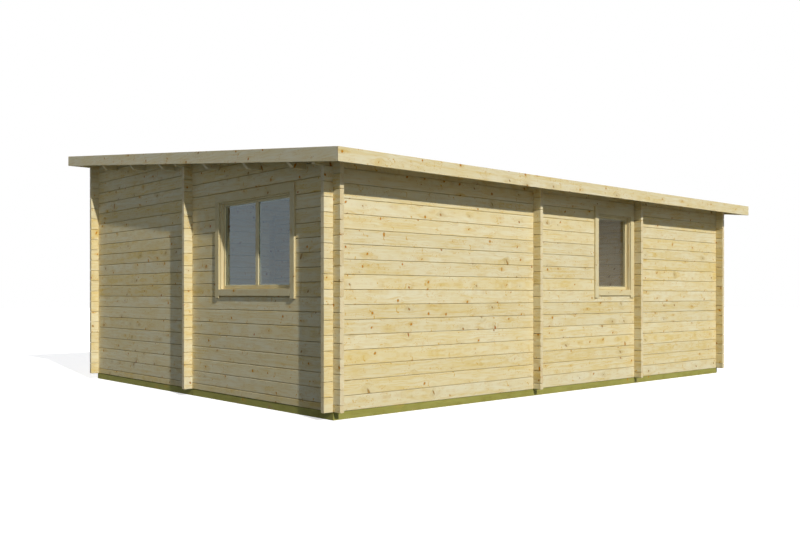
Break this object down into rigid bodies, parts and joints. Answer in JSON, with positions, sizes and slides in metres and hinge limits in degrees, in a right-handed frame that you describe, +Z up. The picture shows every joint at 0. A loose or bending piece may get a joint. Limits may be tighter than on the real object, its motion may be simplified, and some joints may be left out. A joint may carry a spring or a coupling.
{
  "type": "log bungalow",
  "caption": "Single-storey timber bungalow of notched planed logs under a shallow single-slope roof, with cased windows, crossing log partitions and a base of treated bearers.",
  "frame": {"origin": "on the ground, on the underside of the middle long bearer, under the middle of the long partition", "axes": "+X along the long walls, +Y from the low rear wall to the high front wall, +Z up"},
  "size_m": [7.272, 5.876, 2.958],
  "materials": {
    "log_timber": "planed, untreated softwood",
    "joinery_timber": "planed, smooth",
    "roof_timber": "planed, untreated softwood",
    "floor_timber": "planed, untreated softwood",
    "bearer_timber": "pressure treated, green",
    "window_glass": "clear",
    "roofing_membrane": "matt sheet",
    "door_metal": "satin"
  },
  "bodies": {
    "root": {"long_bearers": "bearer_timber", "cross_bearers": "bearer_timber", "floor_joists": "bearer_timber", "floor_deck": "floor_timber", "rear_wall": "log_timber", "front_wall": "log_timber", "left_wall": "log_timber", "right_wall": "log_timber", "long_partition": "log_timber", "left_partition": "log_timber", "right_partition": "log_timber", "rear_purlins": "roof_timber", "front_purlins": "roof_timber", "roof_deck": "roof_timber", "roof_covering": "roofing_membrane", "rear_fascia": "roof_timber", "front_fascia": "roof_timber", "left_fascia": "roof_timber", "right_fascia": "roof_timber", "door_frame": "joinery_timber", "door_threshold": "joinery_timber", "door_leaf": "joinery_timber", "door_casing": "joinery_timber", "door_glass": "window_glass", "door_handle": "door_metal", "left_window_frame": "joinery_timber", "left_window_sash": "joinery_timber", "left_window_casing": "joinery_timber", "left_window_glass": "window_glass", "rear_window_frame": "joinery_timber", "rear_window_sash": "joinery_timber", "rear_window_casing": "joinery_timber", "rear_window_glass": "window_glass", "right_window_frame": "joinery_timber", "right_window_sash": "joinery_timber", "right_window_casing": "joinery_timber", "right_window_glass": "window_glass", "front_left_window_frame": "joinery_timber", "front_left_window_sash": "joinery_timber", "front_left_window_casing": "joinery_timber", "front_left_window_glass": "window_glass", "front_right_window_frame": "joinery_timber", "front_right_window_sash": "joinery_timber", "front_right_window_casing": "joinery_timber", "front_right_window_glass": "window_glass"}
  },
  "joints": []
}
